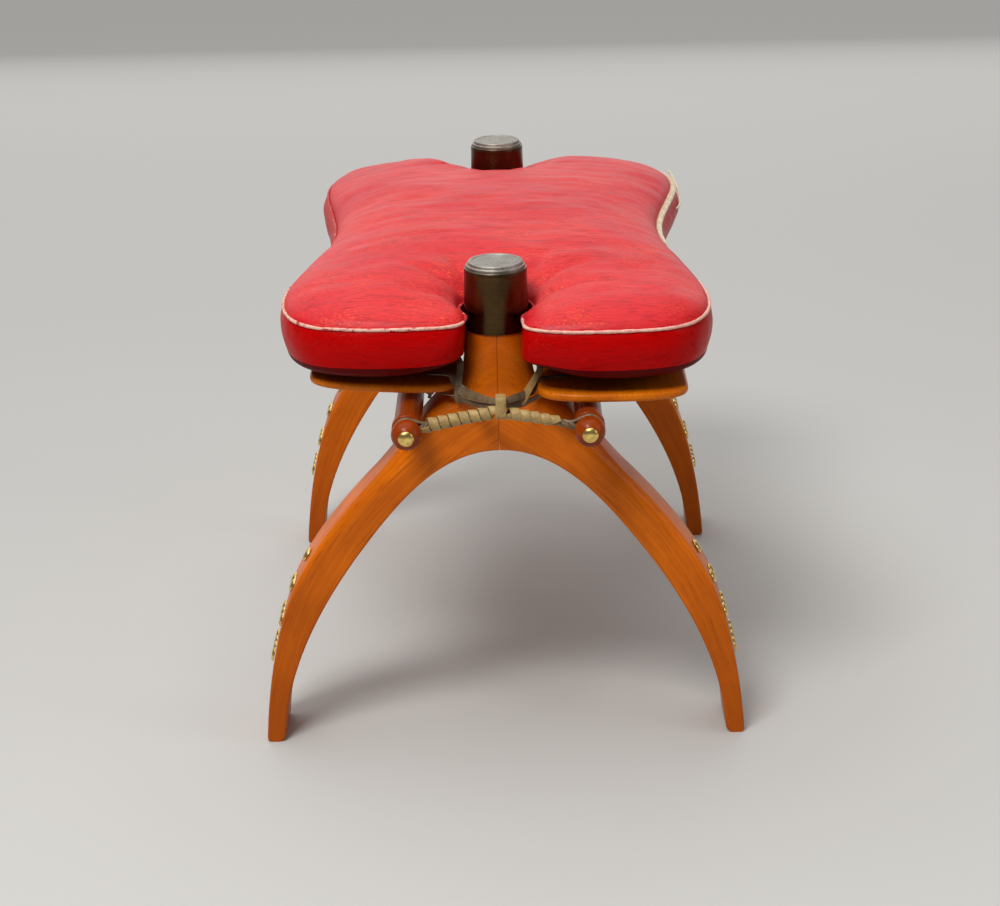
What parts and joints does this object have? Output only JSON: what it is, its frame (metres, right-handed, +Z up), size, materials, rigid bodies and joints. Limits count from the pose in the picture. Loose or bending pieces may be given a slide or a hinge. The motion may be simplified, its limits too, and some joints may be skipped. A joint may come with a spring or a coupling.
{
  "type": "camel saddle stool",
  "caption": "Low stool: arched wooden wishbone ends with capped necks, lashed rods and seat boards, and a loose red leather cushion notched at both ends.",
  "frame": {"origin": "on the floor under the middle of the stool", "axes": "+Z up; Y runs along the rods, with the front end at -Y; X across, +X to the right seen from the front"},
  "size_m": [0.47, 0.7572, 0.4772],
  "materials": {
    "leg_wood": "satin varnish",
    "rod_wood": "satin varnish",
    "board_wood": "satin varnish",
    "dowel_wood": "raw",
    "cap_brass": "darkened, worn on top",
    "stud_brass": "polished",
    "cushion_top_leather": "faded and creased",
    "cushion_side_leather": "glossy",
    "piping_leather": "worn bare",
    "lace_rawhide": "raw",
    "whipping_rawhide": "raw",
    "strap_rawhide": "weathered",
    "cushion_fabric": "stuffed cotton"
  },
  "bodies": {
    "frame": {"front_left_leg": "leg_wood", "front_left_studs_row_1": "stud_brass", "front_left_studs_row_2": "stud_brass", "front_left_studs_row_3": "stud_brass", "front_left_studs_row_4": "stud_brass", "front_right_leg": "leg_wood", "front_right_studs_row_1": "stud_brass", "front_right_studs_row_2": "stud_brass", "front_right_studs_row_3": "stud_brass", "front_right_studs_row_4": "stud_brass", "front_lower_dowel": "dowel_wood", "front_upper_dowel": "dowel_wood", "front_horn_cap": "cap_brass", "front_rod_lashing": "strap_rawhide", "front_whipping_left": "whipping_rawhide", "front_whipping_right": "whipping_rawhide", "front_centre_tie": "whipping_rawhide", "front_board_strap_left": "strap_rawhide", "front_board_strap_right": "strap_rawhide", "rear_left_leg": "leg_wood", "rear_left_studs_row_1": "stud_brass", "rear_left_studs_row_2": "stud_brass", "rear_left_studs_row_3": "stud_brass", "rear_left_studs_row_4": "stud_brass", "rear_right_leg": "leg_wood", "rear_right_studs_row_1": "stud_brass", "rear_right_studs_row_2": "stud_brass", "rear_right_studs_row_3": "stud_brass", "rear_right_studs_row_4": "stud_brass", "rear_lower_dowel": "dowel_wood", "rear_upper_dowel": "dowel_wood", "rear_horn_cap": "cap_brass", "rear_rod_lashing": "strap_rawhide", "rear_whipping_left": "whipping_rawhide", "rear_whipping_right": "whipping_rawhide", "rear_centre_tie": "whipping_rawhide", "rear_board_strap_left": "strap_rawhide", "rear_board_strap_right": "strap_rawhide", "left_rod": "rod_wood", "left_seat_board": "board_wood", "left_rod_front_stud": "stud_brass", "left_rod_rear_stud": "stud_brass", "right_rod": "rod_wood", "right_seat_board": "board_wood", "right_rod_front_stud": "stud_brass", "right_rod_rear_stud": "stud_brass"},
    "cushion": {"cushion_filling": "cushion_fabric", "cushion_top_panel": "cushion_top_leather", "cushion_boxing": "cushion_side_leather", "cushion_bottom_panel": "cushion_side_leather", "cushion_piping": "piping_leather", "cushion_lacing": "lace_rawhide", "cushion_lace_loop": "lace_rawhide"}
  },
  "joints": [
    {"name": "cushion_lift", "type": "slide", "parent": "frame", "child": "cushion", "axis": [0, 0, 1], "range_m": [0, 0.11]}
  ]
}
